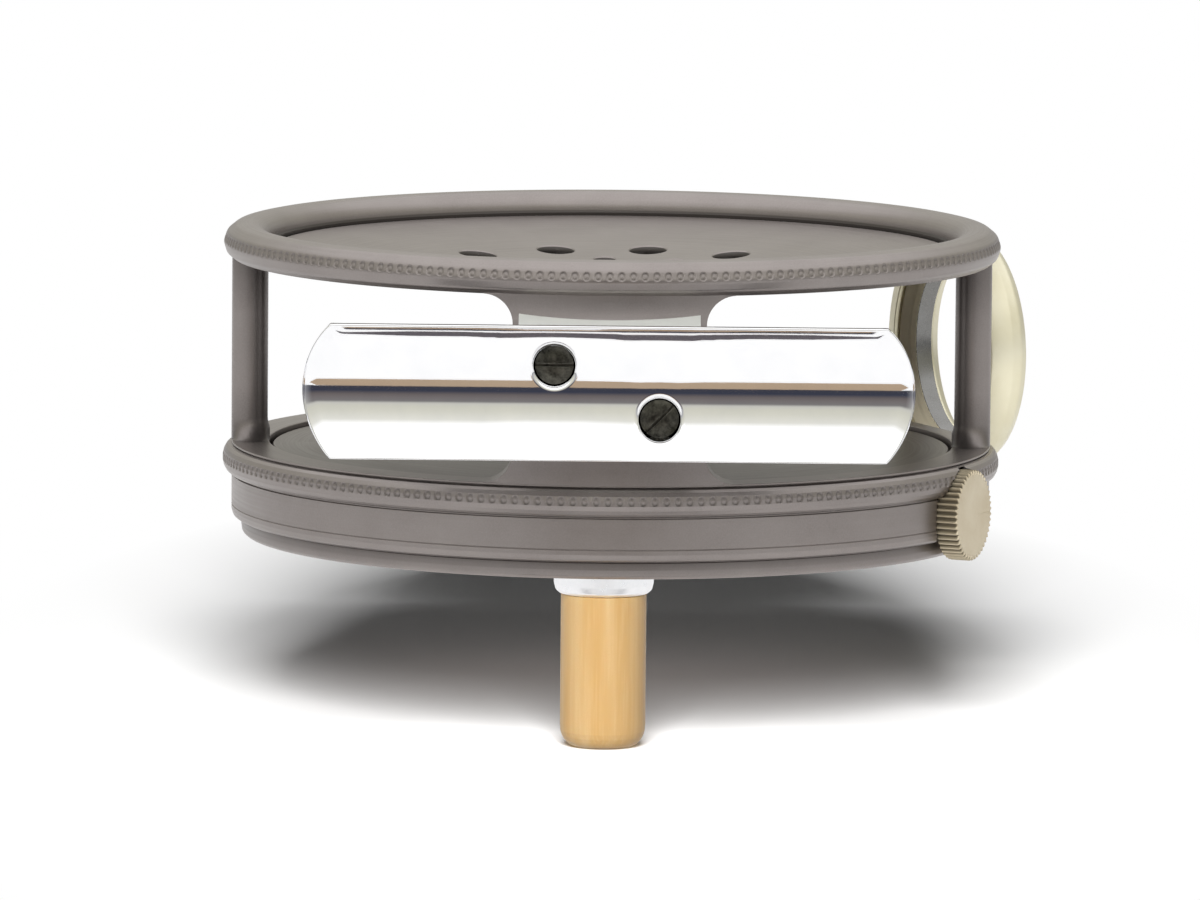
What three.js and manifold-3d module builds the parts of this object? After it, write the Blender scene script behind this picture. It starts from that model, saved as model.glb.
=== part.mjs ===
// Caged fly fishing reel: a perforated line drum turns on a caged ball bearing inside a one-piece
// frame, with a handle plate, a click pawl, a regulator knob, a line guard and a rod foot.
// Millimetres. Shapes are laid out with Z as the spindle axis, z = 0 the outer face of the handle
// plate, +Z towards the perforated drum flange and the rod foot on -Y. The finished meshes are then
// shifted so that the origin is the middle of the rod foot's seat.
import * as THREE from "three";
import { mergeVertices } from "three/addons/utils/BufferGeometryUtils.js";
import Module from "manifold-3d";

const wasm = await Module();
wasm.setup();

// ---- driving dimensions -------------------------------------------------------------------
const GAP = 0.3;                       // running clearance between neighbours
const SEG = 60;                        // facets round the big rings
const R_BAND = 41.8, R_BEAD = 42.8;    // housing band and knurled beads
const R_BORE = 37.7, R_CREST = 40.1;   // ring bore, top of the upper ring
const R_CAVITY = 39.8;                 // click chamber under the web
const Z_HOUSE = 2.1, Z_WEB = 6.6, Z_WEB_TOP = 8.0;
const Z_LOW = 10.25, Z_UP = 30.5, Z_CREST = 34.3, Z_LIP = 32.3;
const Z_MID = 20.9;                    // middle of the rod foot
const R_PLATE = 40.7, T_PLATE = 1.8;   // handle plate
const R_DRUM = 37.3, Z_DRUM = 8.4, T_DRUM = 1.4;
const R_HUB = 5.0, R_SPINDLE = 3.0;
const R_BOSS = 6.6, Z_BOSS = 25.2, Z_NUT_SEAT = 26.7;   // boss that the spindle nut sinks into
const R_ARBOR = 9.9, R_ARBOR_IN = 7.0, RIVET_AT = 8.5;
const Z_DISH = 28.7, Z_RIM = 31.7, R_DISH = 13.6;    // dished upper flange
const PILLAR_R = 2.0, PILLAR_AT = 39.85, PILLAR_ANGLES = [89, 180, 271];
const SADDLE_HALF = 10.35, SADDLE_FILLET = 3.15;
const POCKET_HALF = 9.8, POCKET_Y = -39.8, PEDESTAL_HALF = 9.5;
const FOOT_TIP = 32.5, FOOT_CORNER = 29.5, FOOT_HALF = 7.2, FOOT_SEAT_R = 10;
const FOOT_VALLEY_Y = -46.5, FOOT_BACK_Y = -44.3;
const SCREW_AT = [[-5.8, 2.7, 0], [5.4, -2.95, 45]];  // x, z from the foot middle, slot angle
const SCREW_HEAD_R = 2.05, SCREW_HOLE_R = 2.25, SCREW_SHANK_R = 1.2, SCREW_SEAT_Y = -44.75;
const GUARD_ANGLE = 113.8, GUARD_Z = 19.1, GUARD_R = 13.5, GUARD_FROM = 39.85;
const KNOB_ANGLE = 65, KNOB_Z = 4.6, KNOB_R = 4.95, KNOB_FROM = 41.25, KNOB_TO = 43.77;
const HANDLE_X = -0.43, HANDLE_Y = -33.5, GRIP_R = 4.6, GRIP_TIP = -18.8;
const BALLS = 10, BALL_R = 1.6, BALL_AT = 8.5, BALL_Z = 6.05;
const TEETH = 36, TOOTH_TIP = 8.6, TOOTH_ROOT = 7.9;
const PAWL_PIVOT = [11.5, 13.0], PAWL_NOSE = [8.45, 2.75];
const LEAF_ROOT = [16.5, -11.0], LEAF_TIP = [13.6, 6.5];

// ---- materials ------------------------------------------------------------------------------
const finish = (name, color, roughness, metalness) =>
  Object.assign(new THREE.MeshStandardMaterial({ color, roughness, metalness }), { name });
const GUNMETAL = finish("gunmetal", 0x7d7672, 0.45, 0.7);
const ALLOY = finish("bright_alloy", 0xe3e6ea, 0.12, 1);
const NICKEL = finish("nickel_silver", 0xd9cf9c, 0.3, 1);
const STEEL = finish("steel", 0x8c8f93, 0.3, 1);
const DARK = finish("blued_steel", 0x3a3a38, 0.4, 1);
const IVORINE = finish("ivorine", 0xe8bf80, 0.45, 0);

// ---- helpers --------------------------------------------------------------------------------
const rad = (a) => (a * Math.PI) / 180;
const group = new THREE.Group();
group.name = "fly_fishing_reel";

function solid(geometry) {
  const g = geometry.clone();
  g.deleteAttribute("normal");
  g.deleteAttribute("uv");
  const m = mergeVertices(g, 1e-4);
  const vertProperties = new Float32Array(m.attributes.position.array);
  const triVerts = new Uint32Array(m.index.array);
  return new wasm.Manifold(new wasm.Mesh({ numProp: 3, vertProperties, triVerts }));
}

function geometryOf(manifold) {
  const mesh = manifold.getMesh();
  const g = new THREE.BufferGeometry();
  g.setAttribute("position", new THREE.BufferAttribute(new Float32Array(mesh.vertProperties), 3));
  g.setIndex(new THREE.BufferAttribute(new Uint32Array(mesh.triVerts), 1));
  g.computeVertexNormals();
  return g;
}

function add(name, shape, material) {
  const seated = shape.translate([0, -FOOT_VALLEY_Y, -Z_MID]);
  const mesh = new THREE.Mesh(geometryOf(seated), material);
  mesh.name = name;
  group.add(mesh);
}

const union = (...parts) => parts.reduce((a, b) => a.add(b));
const cut = (body, ...tools) => tools.reduce((a, b) => a.subtract(b), body);

// A body turned about Z from a closed loop of [radius, z] points.
function turned(points, segments = 24) {
  const loop = [...points, points[0]].map(([r, z]) => new THREE.Vector2(r, z));
  return solid(new THREE.LatheGeometry(loop, segments).rotateX(Math.PI / 2));
}

// A turned body that closes on the axis: the outline runs from the axis back to the axis.
function spun(points, segments = 24) {
  const line = points.map(([r, z]) => new THREE.Vector2(r, z));
  return solid(new THREE.LatheGeometry(line, segments).rotateX(Math.PI / 2));
}

const rod = (r, z0, z1, n = 24) => spun([[0, z0], [r, z0], [r, z1], [0, z1]], n);
const tube = (r0, r1, z0, z1, n = 24) => turned([[r0, z0], [r1, z0], [r1, z1], [r0, z1]], n);

// A plate of the given outline in XY, from z0 to z1.
function slab(points, z0, z1) {
  const shape = new THREE.Shape(points.map(([x, y]) => new THREE.Vector2(x, y)));
  const g = new THREE.ExtrudeGeometry(shape, { depth: z1 - z0, bevelEnabled: false });
  return solid(g.translate(0, 0, z0));
}

const box = (x0, x1, y0, y1, z0, z1) => slab([[x0, y0], [x1, y0], [x1, y1], [x0, y1]], z0, z1);

// An outline in XZ pushed along Y from y0 to y1.
function frontal(points, y0, y1) {
  return slab(points.map(([x, z]) => [x, z]), -y1, -y0).rotate([90, 0, 0]);
}

// Local X is tangential, local Y is up the spindle and local Z is radial, at an azimuth
// measured from -Y towards +X.
function radial(body, azimuth, z) {
  const a = rad(azimuth), s = Math.sin(a), c = Math.cos(a);
  return body.transform([c, s, 0, 0, 0, 0, 1, 0, s, -c, 0, 0, 0, 0, z, 1]);
}

// The click chamber is laid out in [out, along]: out along the regulator stem, along across it.
const K = rad(KNOB_ANGLE);
const chamber = ([out, along]) => [
  out * Math.sin(K) + along * Math.cos(K), -out * Math.cos(K) + along * Math.sin(K)];

const arc = (cx, cy, r, from, to, n) => Array.from({ length: n + 1 }, (_, i) => {
  const a = rad(from + ((to - from) * i) / n);
  return [cx + r * Math.cos(a), cy + r * Math.sin(a)];
});

// ---- frame ------------------------------------------------------------------------------------
function lowerRing() {
  return turned([
    [12.4, Z_WEB_TOP], [12.4, 4.1], [14.4, 4.1], [14.4, Z_WEB], [R_CAVITY, Z_WEB],
    [R_CAVITY, Z_HOUSE], [41.3, Z_HOUSE], [R_BAND, 2.5], [R_BAND, 6.8], [42.5, 7.3],
    [R_BEAD, 8.4], [42.5, 9.5], [R_BAND, 10.0], [R_BAND, Z_LOW],
    [R_BORE, Z_LOW], [R_BORE, Z_WEB_TOP],
  ], SEG);
}

function upperRing() {
  return turned([
    [R_BORE, Z_UP], [R_BAND, Z_UP], [42.5, 31.2], [R_BEAD, 32.3], [42.3, 33.4],
    [41.5, 34.1], [R_CREST + 0.5, Z_CREST], [R_CREST - 0.3, Z_CREST], [39.1, 34.1],
    [38.3, 33.5], [R_BORE, Z_LIP],
  ], SEG);
}

function cageWall() {
  return tube(R_BORE, R_BAND, Z_LOW - 0.5, Z_UP + 0.5, SEG);
}

function pillar(angle) {
  const foot = [[3.6, 0], [2.7, 0.45], [2.2, 1.15], [PILLAR_R, 2.1]].map(([r, h]) =>
    [r, Z_LOW + h]);
  const outline = [[0, Z_LOW - 0.3], [3.6, Z_LOW - 0.3], ...foot,
    [PILLAR_R, Z_UP + 0.3], [0, Z_UP + 0.3]];
  const a = rad(angle);
  return spun(outline, 20).translate([PILLAR_AT * Math.sin(a), -PILLAR_AT * Math.cos(a), 0])
    .intersect(cageWall());
}

function saddle() {
  const w = SADDLE_HALF + SADDLE_FILLET;
  const fillets = [
    ...arc(w, Z_LOW + SADDLE_FILLET, SADDLE_FILLET, 270, 180, 5),
    ...arc(w, Z_UP - SADDLE_FILLET, SADDLE_FILLET, 180, 90, 5),
    ...arc(-w, Z_UP - SADDLE_FILLET, SADDLE_FILLET, 90, 0, 5),
    ...arc(-w, Z_LOW + SADDLE_FILLET, SADDLE_FILLET, 0, -90, 5),
  ];
  const outline = [[-w, Z_LOW - 0.3], [w, Z_LOW - 0.3], ...fillets.slice(0, 12),
    [w, Z_UP + 0.3], [-w, Z_UP + 0.3], ...fillets.slice(12)];
  return frontal(outline, -46, -34).intersect(cageWall());
}

// The pocket for the foot pedestal; its two ends slope like the pedestal's.
function pocket() {
  const side = [[-46, 15.2], [POCKET_Y, 12.5], [POCKET_Y, 29.0], [-46, 26.3]];
  return pedestalBlock(side, POCKET_HALF);
}

// A block of half width w whose outline in [y, z] is given.
function pedestalBlock(side, w) {
  return slab(side, -w, w).transform([0, 1, 0, 0, 0, 0, 1, 0, 1, 0, 0, 0, 0, 0, 0, 1]);
}

const alongY = (body, x, z) => body.rotate([90, 0, 0]).translate([x, 0, z]);

function frame() {
  const body = union(lowerRing(), upperRing(), saddle(), ...PILLAR_ANGLES.map(pillar));
  const screwHoles = SCREW_AT.map(([x, z]) =>
    alongY(rod(SCREW_SHANK_R + GAP, 38.4, 46, 20), x, Z_MID + z));
  const knobSeat = radial(rod(KNOB_R + 0.4, KNOB_FROM - GAP, 46, 36), KNOB_ANGLE, KNOB_Z);
  const stemHole = radial(rod(2.3, 37, 45, 24), KNOB_ANGLE, KNOB_Z);
  const guardSeat = radial(rod(GUARD_R + GAP, GUARD_FROM - GAP, 48, 36), GUARD_ANGLE, GUARD_Z);
  const postHole = rod(1.2, 6, 9).translate([...chamber(PAWL_PIVOT), 0]);
  const rootHole = rod(1.2, 6, 9).translate([...chamber([17.4, -11.0]), 0]);
  return cut(body, pocket(), ...screwHoles, knobSeat, stemHole, guardSeat, postHole,
    rootHole);
}

// ---- rod foot -----------------------------------------------------------------------------------
// Section in [y, z]: hollow towards the rod in five facets, flat behind with bevelled flanks.
function footSection() {
  const c = FOOT_VALLEY_Y - FOOT_SEAT_R;
  const at = (z) => c + Math.sqrt(FOOT_SEAT_R ** 2 - z * z);
  const hollow = [-FOOT_HALF, -6.1, -4.8, -3.2, -1.6];
  const face = [...hollow.map((z) => [at(z), z]), ...hollow.map((z) => [at(z), -z]).reverse()];
  face[4][0] = face[5][0] = FOOT_VALLEY_Y;
  const back = [[-48.2, FOOT_HALF], [-47.0, 6.6], [FOOT_BACK_Y, 4.6], [FOOT_BACK_Y, -4.6],
    [-47.0, -6.6], [-48.2, -FOOT_HALF]];
  return [...face, ...back].map(([y, z]) => [y, z + Z_MID]);
}

function foot() {
  const plate = pedestalBlock(footSection(), FOOT_TIP + 1);
  const r = (FOOT_HALF ** 2 + (FOOT_TIP - FOOT_CORNER) ** 2) / (2 * (FOOT_TIP - FOOT_CORNER));
  const half = Math.asin(FOOT_HALF / r) * (180 / Math.PI);
  const ends = [...arc(FOOT_TIP - r, Z_MID, r, -half, half, 10),
    ...arc(r - FOOT_TIP, Z_MID, r, 180 - half, 180 + half, 10)];
  const outline = frontal(ends, -60, -40);
  const taper = (s) => slab([[s * 13, -44.0], [s * 34, -46.6], [s * 34, -42], [s * 13, -42]]
    .map((p) => p), 10, 31);
  const block = pedestalBlock([[-44.6, 15.0], [POCKET_Y - GAP, 13.02], [POCKET_Y - GAP, 28.38],
    [-44.6, 26.4]], PEDESTAL_HALF);
  const holes = SCREW_AT.flatMap(([x, z]) => [
    alongY(rod(SCREW_HOLE_R, -SCREW_SEAT_Y, 52, 28), x, Z_MID + z),
    alongY(rod(SCREW_SHANK_R + GAP, 36, 52, 20), x, Z_MID + z)]);
  return cut(union(plate.intersect(outline), block), taper(1), taper(-1), ...holes);
}

function footScrew([x, z, turn]) {
  const top = -SCREW_SEAT_Y + 1.5, seat = -SCREW_SEAT_Y + 0.1;
  const body = spun([[0, 38.8], [SCREW_SHANK_R, 38.8], [SCREW_SHANK_R, seat],
    [SCREW_HEAD_R, seat], [SCREW_HEAD_R, top - 0.35], [1.6, top], [0, top]], 24);
  const slot = box(-3, 3, -0.25, 0.25, top - 0.55, top + 1).rotate([0, 0, -turn]);
  return alongY(cut(body, slot), x, Z_MID + z);
}

// ---- line guard -----------------------------------------------------------------------------------
function guardOuter() {
  return radial(turned([[11.9, GUARD_FROM], [GUARD_R, GUARD_FROM], [GUARD_R, 42.75], [13.2, 43.85],
    [12.5, 44.7], [11.6, 45.1], [10.9, 44.85], [10.45, 44.25], [10.15, 43.55],
    [11.9, 43.55]], 36),
  GUARD_ANGLE, GUARD_Z);
}

function guardInner() {
  return radial(turned([[10.0, 41.85], [10.2, 41.35], [10.7, 40.95], [11.6, 40.25],
    [11.6, 43.25], [10.0, 43.25]], 36), GUARD_ANGLE, GUARD_Z);
}

// ---- click chamber ----------------------------------------------------------------------------------
function knob() {
  const n = 36;
  const rim = Array.from({ length: 2 * n }, (_, i) => {
    const a = (Math.PI * i) / n, r = i % 2 ? KNOB_R : KNOB_R - 0.3;
    return [r * Math.cos(a), r * Math.sin(a)];
  });
  const bevel = spun([[0, KNOB_FROM], [4.5, KNOB_FROM], [5.1, KNOB_FROM + 0.5],
    [5.1, KNOB_TO - 0.5], [4.5, KNOB_TO], [0, KNOB_TO]], 36);
  return radial(slab(rim, KNOB_FROM, KNOB_TO).intersect(bevel), KNOB_ANGLE, KNOB_Z);
}

function ratchet() {
  const rim = Array.from({ length: 2 * TEETH }, (_, i) => {
    const a = (Math.PI * i) / TEETH, r = i % 2 ? TOOTH_ROOT : TOOTH_TIP;
    return [r * Math.cos(a), r * Math.sin(a)];
  });
  return cut(slab(rim, 2.2, 3.4), rod(R_HUB + GAP, 1, 5, 32));
}

function pawl() {
  const [u, v] = PAWL_PIVOT, [nu, nv] = PAWL_NOSE;
  const outline = [[u - 2.2, v], [nu - 0.1, nv + 3.2], [nu, nv], [nu + 1.7, nv + 1.6],
    [12.9, 5.6], [13.0, 7.4], [12.4, 9.4], [u + 2.2, v]].map(chamber);
  const eye = rod(2.2, 2.3, 3.5).translate([...chamber(PAWL_PIVOT), 0]);
  const bore = rod(1.2 + GAP, 2, 4).translate([...chamber(PAWL_PIVOT), 0]);
  return cut(union(slab(outline, 2.3, 3.5), eye), bore);
}

function pawlPost() {
  return spun([[0, 2.2], [1.2, 2.2], [1.2, 3.9], [2.0, 3.9], [2.0, 6.3], [0.9, 6.3],
    [0.9, 7.7], [0, 7.7]]).translate([...chamber(PAWL_PIVOT), 0]);
}

function leafSpring() {
  const [a, b] = LEAF_ROOT, [c, d] = LEAF_TIP;
  const strip = [[a, b], [c, d], [c + 0.25, d + 0.5], [c + 0.5, d], [a + 0.45, b]].map(chamber);
  return slab(strip, 2.3, 3.5);
}

function leafClamp() {
  const at = [...chamber([17.4, -11.0]), 0];
  const post = spun([[0, 3.8], [2.1, 3.8], [2.1, 6.3], [0.9, 6.3], [0.9, 7.7], [0, 7.7]]);
  return post.translate(at);
}

function regulatorBlock() {
  const body = [[20, -8], [23.5, -8], [23.5, 2.6], [20, 2.6]].map(chamber);
  const finger = [[17.5, -7.8], [20.4, -7.8], [20.4, -5.2], [17.5, -5.2]].map(chamber);
  const bore = radial(rod(1.3 + GAP, 16, 28), KNOB_ANGLE, KNOB_Z);
  return cut(union(slab(body, 2.4, 6.3), slab(finger, 2.4, 6.0)), bore);
}

function rail(from, to) {
  return slab([[20, from], [26, from], [26, to], [20, to]].map(chamber), 3.0, 6.3);
}

function ballCage() {
  const fingers = Array.from({ length: BALLS }, (_, i) => {
    const a = (2 * Math.PI * (i + 0.5)) / BALLS;
    return rod(0.62, 3.9, 6.6, 6).translate([BALL_AT * Math.cos(a), BALL_AT * Math.sin(a), 0]);
  });
  return union(tube(7.6, 9.4, 3.7, 4.15, 30), ...fingers);
}

function ball(i) {
  const a = (2 * Math.PI * i) / BALLS;
  const g = new THREE.SphereGeometry(BALL_R, 12, 8).rotateX(Math.PI / 2);
  return solid(g.translate(BALL_AT * Math.cos(a), BALL_AT * Math.sin(a), BALL_Z));
}

// ---- drum ---------------------------------------------------------------------------------------------
function upperFlange() {
  const body = turned([
    [R_SPINDLE + GAP, Z_BOSS], [R_BOSS, Z_BOSS], [R_BOSS, Z_DISH - 1.3],
    [R_DISH, Z_DISH - 1.3], [R_DRUM - 0.6, Z_RIM - 1.5], [R_DRUM, Z_RIM - 1.2],
    [R_DRUM - 0.1, Z_RIM], [R_DISH, Z_DISH], [R_BOSS - 1, Z_DISH],
    [R_BOSS - 1, Z_NUT_SEAT], [R_SPINDLE + GAP, Z_NUT_SEAT]], SEG);
  const ring = (at, r, first, n) => Array.from({ length: 12 }, (_, k) => {
    const a = rad(first + 30 * k);
    return rod(r, 20, 40, n).translate([at * Math.sin(a), at * Math.cos(a), 0]);
  });
  const rivets = rivetPlaces(1.05, 20, 40);
  return cut(body, ...ring(20, 2.1, 11.2, 12), ...ring(15.1, 1.2, -3.5, 8), ...rivets);
}

function rivetPlaces(r, z0, z1) {
  return [0, 120, 240].map((t) => {
    const a = rad(t + 30);
    return rod(r, z0, z1, 12).translate([RIVET_AT * Math.sin(a), RIVET_AT * Math.cos(a), 0]);
  });
}

const rivet = (i) => rivetPlaces(0.75, 8.6, 28.4)[i];

function lowerFlange() {
  const body = turned([[R_SPINDLE + GAP, 2.1], [R_HUB, 2.1], [R_HUB, Z_DRUM],
    [R_DRUM, Z_DRUM], [R_DRUM, Z_DRUM + T_DRUM],
    [R_SPINDLE + GAP, Z_DRUM + T_DRUM]], SEG);
  return cut(body, ...rivetPlaces(1.05, 7, 12));
}

function arbor() {
  return cut(tube(R_ARBOR_IN, R_ARBOR, 10.1, 26.9, 48), ...rivetPlaces(1.05, 5, 30));
}

function handlePlate() {
  const body = turned([[R_SPINDLE + GAP, 0], [R_PLATE - 0.5, 0], [R_PLATE - 0.1, 0.3],
    [R_PLATE, 1.0], [R_PLATE, T_PLATE], [R_SPINDLE + GAP, T_PLATE]], SEG);
  return cut(body, rod(1.2 + GAP, -1, 3).translate([HANDLE_X, HANDLE_Y, 0]),
    rod(0.9 + GAP, -1, 3).translate([0, 9.5, 0]));
}

function spindle() {
  return spun([[0, 7], [2.3, 7], [2.3, 0.3], [R_SPINDLE, 0.3], [R_SPINDLE, 27.9],
    [2.6, 28.3], [0, 28.3]], 28);
}

function spindleNut() {
  const flats = Array.from({ length: 6 }, (_, i) => [
    5.2 * Math.cos(rad(60 * i)), 5.2 * Math.sin(rad(60 * i))]);
  return cut(slab(flats, Z_NUT_SEAT + GAP, Z_DISH + 0.1), rod(R_SPINDLE + GAP, 20, 30.0));
}

function slotted(headR, z0, z1, shankR, z2) {
  const body = spun([[0, z0], [headR - 0.25, z0], [headR, z0 + 0.25], [headR, z1], [shankR, z1],
    [shankR, z2], [0, z2]], 28);
  return cut(body, box(-headR - 1, headR + 1, -0.3, 0.3, z0 - 1, z0 + 0.5));
}

function strap() {
  const tongue = [[-2, 5.6], [2, 5.6], [2, 10.6], [1, 11.6], [-1, 11.6], [-2, 10.6]];
  return cut(slab(tongue, -0.9, -0.3), rod(0.9 + GAP, -2, 2).translate([0, 9.5, 0]));
}

const atHandle = (body) => body.translate([HANDLE_X, HANDLE_Y, 0]);

function ferrule() {
  return atHandle(turned([[1.5, -2.25], [4.7, -2.25], [5.1, -1.95], [5.32, -1.3],
    [5.45, -0.3], [1.5, -0.3]], 30));
}

function grip() {
  const tip = GRIP_TIP;
  return atHandle(turned([[1.6, -2.5], [1.6, tip + 1.3], [2.5, tip + 1.3], [2.5, tip],
    [3.0, tip], [3.75, tip + 0.35], [4.35, tip + 1.1], [GRIP_R, tip + 2.2],
    [GRIP_R, -2.5]], 30));
}

function handlePin() {
  return atHandle(spun([[0, -18.5], [1.6, -18.5], [2.1, -18.2], [2.1, -17.7], [1.2, -17.7],
    [1.2, 1.6], [0, 1.6]], 24));
}

// ---- assembly -----------------------------------------------------------------------------------------
add("frame", frame(), GUNMETAL);
add("foot", foot(), ALLOY);
SCREW_AT.forEach((s, i) => add(`foot_screw_${i + 1}`, footScrew(s), DARK));
add("line_guard_outer", guardOuter(), NICKEL);
add("line_guard_inner", guardInner(), NICKEL);

add("bearing_outer_race", turned([[9.9, 4.4], [12.1, 4.4], [12.1, 7.8], [9.9, 7.8],
  [10.4, 7.0], [10.3, BALL_Z], [10.4, 5.1]], 36), STEEL);
add("ball_cage", ballCage(), NICKEL);
for (let i = 0; i < BALLS; i += 1) add(`ball_${i + 1}`, ball(i), STEEL);
add("bearing_inner_race", turned([[R_HUB + GAP, 3.9], [7.1, 3.9], [6.6, 5.1],
  [6.7, BALL_Z], [6.6, 7.0], [7.1, 7.9], [R_HUB + GAP, 7.9]], 36), STEEL);

add("pawl_post", pawlPost(), STEEL);
add("pawl", pawl(), STEEL);
add("leaf_clamp", leafClamp(), STEEL);
add("leaf_spring", leafSpring(), STEEL);
add("regulator_block", regulatorBlock(), NICKEL);
add("regulator_rail_1", rail(2.9, 4.1), NICKEL);
add("regulator_rail_2", rail(-9.5, -8.3), NICKEL);
add("regulator_bush", radial(tube(1.6, 2.0, 37.9, 40.8), KNOB_ANGLE, KNOB_Z), NICKEL);
add("regulator_stem", radial(spun([[0, 18.6], [1.0, 18.6], [1.3, 18.9], [1.3, 41.1],
  [0, 41.1]]), KNOB_ANGLE, KNOB_Z), STEEL);
add("regulator_knob", knob(), NICKEL);

add("drum_upper_flange", upperFlange(), GUNMETAL);
add("drum_arbor", arbor(), GUNMETAL);
add("drum_lower_flange", lowerFlange(), GUNMETAL);
for (let i = 0; i < 3; i += 1) add(`drum_rivet_${i + 1}`, rivet(i), STEEL);
add("spindle", spindle(), STEEL);
add("spindle_nut", spindleNut(), NICKEL);
add("ratchet_wheel", ratchet(), STEEL);
add("handle_plate", handlePlate(), GUNMETAL);
add("lock_screw", slotted(4.6, -1.7, -0.3, 2.0, 6.5), STEEL);
add("lock_strap", strap(), NICKEL);
add("strap_screw", slotted(1.7, -2.1, -1.1, 0.9, 1.5).translate([0, 9.5, 0]), STEEL);
add("handle_ferrule", ferrule(), ALLOY);
add("handle_pin", handlePin(), STEEL);
add("handle_grip", grip(), IVORINE);

export default group;
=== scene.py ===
"""Caged fly fishing reel: procedural looks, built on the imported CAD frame.

Shapes are written in millimetres in the reel's own layout: the spindle is Z, z = 0 is the
outer face of the handle plate and the rod foot is on -Y. at() moves them into the row frame.
"""
import math

import bpy
import numpy as np
from mathutils import Matrix, Vector
from mathutils.geometry import delaunay_2d_cdt

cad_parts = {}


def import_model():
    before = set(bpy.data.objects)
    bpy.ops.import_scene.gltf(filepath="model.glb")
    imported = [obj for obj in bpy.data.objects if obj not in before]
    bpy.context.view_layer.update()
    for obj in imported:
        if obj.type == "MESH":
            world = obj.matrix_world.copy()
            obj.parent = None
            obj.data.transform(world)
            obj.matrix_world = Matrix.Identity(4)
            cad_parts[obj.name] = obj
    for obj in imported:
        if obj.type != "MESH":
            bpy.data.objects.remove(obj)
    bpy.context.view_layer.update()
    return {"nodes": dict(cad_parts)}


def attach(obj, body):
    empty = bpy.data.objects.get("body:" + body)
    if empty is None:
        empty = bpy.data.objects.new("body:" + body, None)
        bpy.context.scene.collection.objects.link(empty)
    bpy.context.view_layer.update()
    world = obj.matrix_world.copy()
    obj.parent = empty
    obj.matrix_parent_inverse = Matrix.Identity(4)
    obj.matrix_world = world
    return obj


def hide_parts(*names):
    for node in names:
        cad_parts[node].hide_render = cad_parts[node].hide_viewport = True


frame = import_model()

SHIFT = np.array([0.0, 46.5, -20.9])      # reel layout to row frame, mm
Z_LOW, Z_UP, Z_MID = 10.25, 30.5, 20.9
R_BAND, R_BEAD, R_BORE = 41.8, 42.8, 37.7
MARKS, PER_MARK = 214, 12
KNOB_ANGLE, KNOB_Z = 65.0, 4.6
GUARD_ANGLE, GUARD_Z = 113.8, 19.1
HANDLE = (-0.43, -33.5)
LOWER_MARKS, UPPER_MARKS = (8.62, 0.53), (32.70, 0.50)    # height and half height of the rows
PILLAR_R, PILLAR_AT = 2.0, 39.85
GUARD_SEAT, GUARD_LEVEL = 13.8, 39.55     # radius of the guard's flat seat and its distance
KNOB_R, KNURLS = 4.95, 46
SADDLE_HALF, SADDLE_FILLET, NECK_HALF = 10.35, 3.15, 9.68
FOOT_HALF, FOOT_TIP, FOOT_CORNER, SEAT_R, VALLEY = 7.2, 32.5, 29.5, 10.0, -46.5
END_ARC = (FOOT_HALF ** 2 + (FOOT_TIP - FOOT_CORNER) ** 2) / (2 * (FOOT_TIP - FOOT_CORNER))
SCREWS = [(-5.8, 2.7, 0.0), (5.4, -2.95, 45.0)]     # x, z from the foot's middle, slot angle
HOLE_R, HOLE_FLOOR, RIM_POINTS = 2.25, -44.75, 56
END_ROLL, RIM_ROLL = 1.5, 0.55            # how far the edges of the polished face roll in
SLOT = 0.13                               # half width of a screw slot
DISH_R, DISH_EDGE, Z_DISH, Z_DISH_EDGE = 13.6, 37.2, 28.7, 31.68
DISH_SLOPE = (Z_DISH_EDGE - Z_DISH) / (DISH_EDGE - DISH_R)
DISC_R, DISC_WALL, DISC_BORE = 37.3, 1.3, 5.6


# ---- node materials -------------------------------------------------------------------------
class Nodes:
    """A small helper that writes the node tree of a material or a world."""

    def __init__(self, owner):
        owner.use_nodes = True
        self.tree = owner.node_tree

    def add(self, kind, **values):
        node = self.tree.nodes.new(kind)
        for key, value in values.items():
            if hasattr(node, key):
                setattr(node, key, value)
            else:
                node.inputs[key.replace("_", " ")].default_value = value
        return node

    def link(self, a, b):
        self.tree.links.new(a, b)

    def math(self, op, a, b=0.0):
        node = self.add("ShaderNodeMath", operation=op)
        for slot, value in zip(node.inputs, (a, b)):
            if isinstance(value, (int, float)):
                slot.default_value = value
            else:
                self.link(value, slot)
        return node.outputs[0]

    def noise(self, vector, scale, detail=4.0, rough=0.55):
        node = self.add("ShaderNodeTexNoise", Scale=scale, Detail=detail, Roughness=rough)
        self.link(vector, node.inputs["Vector"])
        return node.outputs["Fac"]

    def span(self, value, low, high, start=0.3, stop=0.7):
        node = self.add("ShaderNodeMapRange")
        self.link(value, node.inputs["Value"])
        for key, v in zip(("From Min", "From Max", "To Min", "To Max"), (start, stop, low, high)):
            node.inputs[key].default_value = v
        return node.outputs["Result"]

    def mix(self, factor, a, b):
        node = self.add("ShaderNodeMix", data_type="RGBA")
        self.link(factor, node.inputs["Factor"])
        for slot, colour in ((node.inputs["A"], a), (node.inputs["B"], b)):
            if isinstance(colour, tuple):
                slot.default_value = (*colour, 1.0)
            else:
                self.link(colour, slot)
        return node.outputs["Result"]

    def blend(self, factor, a, b):
        node = self.add("ShaderNodeMixShader")
        for slot, value in zip(node.inputs, (factor, a, b)):
            self.link(value, slot)
        return node.outputs[0]

    def length(self, x, y):
        return self.math("SQRT", self.math("ADD", self.math("MULTIPLY", x, x),
                                           self.math("MULTIPLY", y, y)))


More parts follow.
